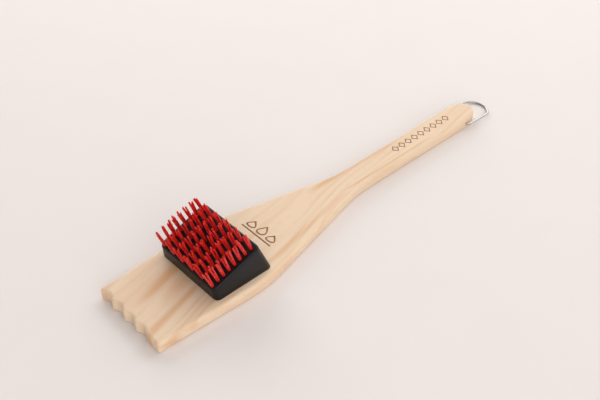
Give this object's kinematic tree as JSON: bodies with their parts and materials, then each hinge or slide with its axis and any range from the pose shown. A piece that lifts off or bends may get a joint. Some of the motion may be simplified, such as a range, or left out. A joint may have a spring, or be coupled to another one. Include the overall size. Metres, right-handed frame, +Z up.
{
  "type": "grill cleaning brush",
  "caption": "Wooden scraper paddle with a scalloped end and a wedge-shaped nylon brush head, with a swinging wire loop on the handle for hanging.",
  "frame": {"origin": "under the middle of the whole object, on the surface that it lies on", "axes": "+X along the board towards the hanging loop, +Z up through the bristles, +Y across the board"},
  "size_m": [0.4498, 0.0908, 0.0617],
  "materials": {
    "wood": "bare sanded pale softwood",
    "black_plastic": "satin moulded",
    "red_nylon": "satin extruded filament",
    "wire_chrome": "bright plated wire",
    "zinc_steel": "zinc plated"
  },
  "bodies": {
    "board": {"wood_paddle": "wood", "brush_block": "black_plastic", "head_screws": "zinc_steel", "tuft_row_1": "red_nylon", "tuft_row_2": "red_nylon", "tuft_row_3": "red_nylon", "tuft_row_4": "red_nylon", "tuft_row_5": "red_nylon", "tuft_row_6": "red_nylon", "tuft_row_7": "red_nylon", "tuft_row_8": "red_nylon", "tuft_anchors_1": "zinc_steel", "tuft_anchors_2": "zinc_steel", "tuft_anchors_3": "zinc_steel", "tuft_anchors_4": "zinc_steel", "tuft_anchors_5": "zinc_steel", "tuft_anchors_6": "zinc_steel", "tuft_anchors_7": "zinc_steel", "tuft_anchors_8": "zinc_steel"},
    "loop": {"hang_loop": "wire_chrome"}
  },
  "joints": [
    {"name": "hang_loop_swing", "type": "hinge", "parent": "board", "child": "loop", "pos_m": [0.18211, 0, 0.00635], "axis": [0, -1, 0], "range_deg": [-160, 174]}
  ]
}
